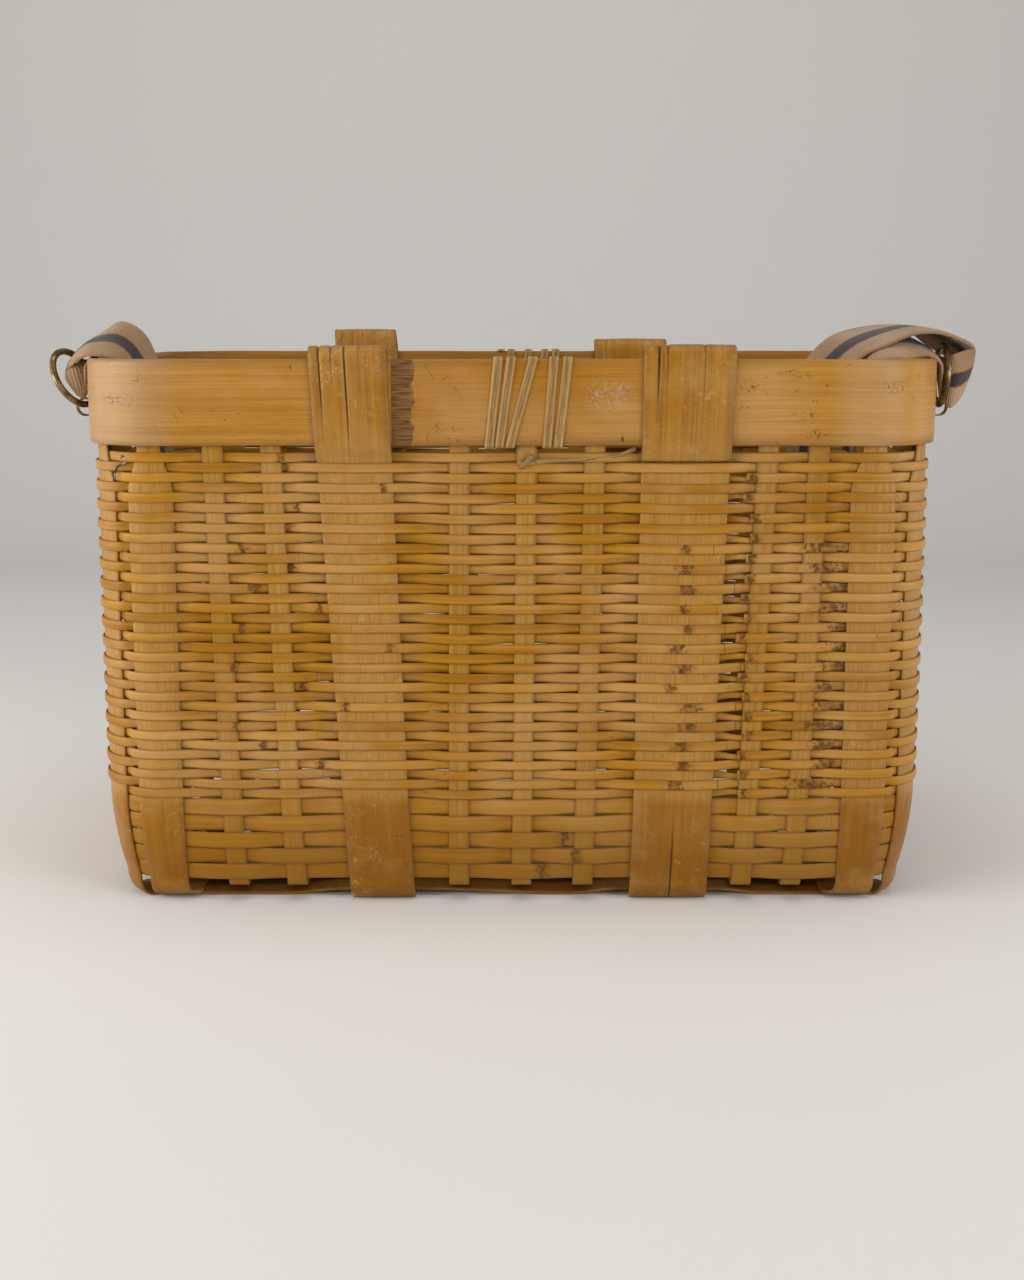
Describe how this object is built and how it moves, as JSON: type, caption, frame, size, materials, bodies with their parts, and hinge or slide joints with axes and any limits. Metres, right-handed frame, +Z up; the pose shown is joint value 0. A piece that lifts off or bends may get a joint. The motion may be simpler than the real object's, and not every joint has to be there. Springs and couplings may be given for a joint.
{
  "type": "fishing creel basket",
  "caption": "Open-topped plain-woven bamboo creel with bent rim hoops, straps under the base, side rings and a striped webbing shoulder strap.",
  "frame": {"origin": "On the floor, under the middle of the overall box", "axes": "+X along the length to the right as seen from the front, -Y towards the front, +Z up"},
  "size_m": [0.4901, 0.2686, 0.3046],
  "materials": {
    "hoop_bamboo": "bamboo skin, satin, aged amber, fine lengthwise grain and scratches",
    "strap_bamboo": "wide bamboo strap, satin, lengthwise splits",
    "split_bamboo": "split bamboo strip, satin, fine grain, dark node marks",
    "rattan": "split cane strand, dull satin",
    "dark_brass": "tarnished brass, worn bright on the high spots",
    "webbing": "ribbed tan cotton webbing with a charcoal centre stripe edged in maroon",
    "tie_wire": "dull bent steel wire"
  },
  "bodies": {
    "basket": {"outer_rim_hoop": "hoop_bamboo", "inner_rim_hoop": "hoop_bamboo", "crosswise_stakes": "split_bamboo", "lengthwise_stakes": "split_bamboo", "left_wide_strap": "strap_bamboo", "right_wide_strap": "strap_bamboo", "left_corner_strap": "strap_bamboo", "right_corner_strap": "strap_bamboo", "front_runner_strap": "strap_bamboo", "back_runner_strap": "strap_bamboo", "weft_rows_top": "split_bamboo", "weft_rows_upper": "split_bamboo", "weft_rows_lower": "split_bamboo", "weft_rows_bottom": "split_bamboo", "wide_weft_rows": "split_bamboo", "crosswise_base_fillers": "split_bamboo", "lengthwise_base_fillers": "split_bamboo", "front_rim_lashing": "rattan", "back_rim_lashing": "rattan", "left_ring_clip": "dark_brass", "right_ring_clip": "dark_brass", "ring_clip_rivets": "dark_brass", "shoulder_strap": "webbing", "corner_tie_wire": "tie_wire"},
    "left_ring": {"left_strap_ring": "dark_brass", "left_strap_end": "webbing"},
    "right_ring": {"right_strap_ring": "dark_brass", "right_strap_end": "webbing"}
  },
  "joints": [
    {"name": "left_ring_swing", "type": "hinge", "parent": "basket", "child": "left_ring", "pos_m": [-0.225, -0.082, 0.26075], "axis": [0, -1, 0], "range_deg": [0, 110]},
    {"name": "right_ring_swing", "type": "hinge", "parent": "basket", "child": "right_ring", "pos_m": [0.225, -0.082, 0.26075], "axis": [0, 1, 0], "range_deg": [0, 110]}
  ]
}
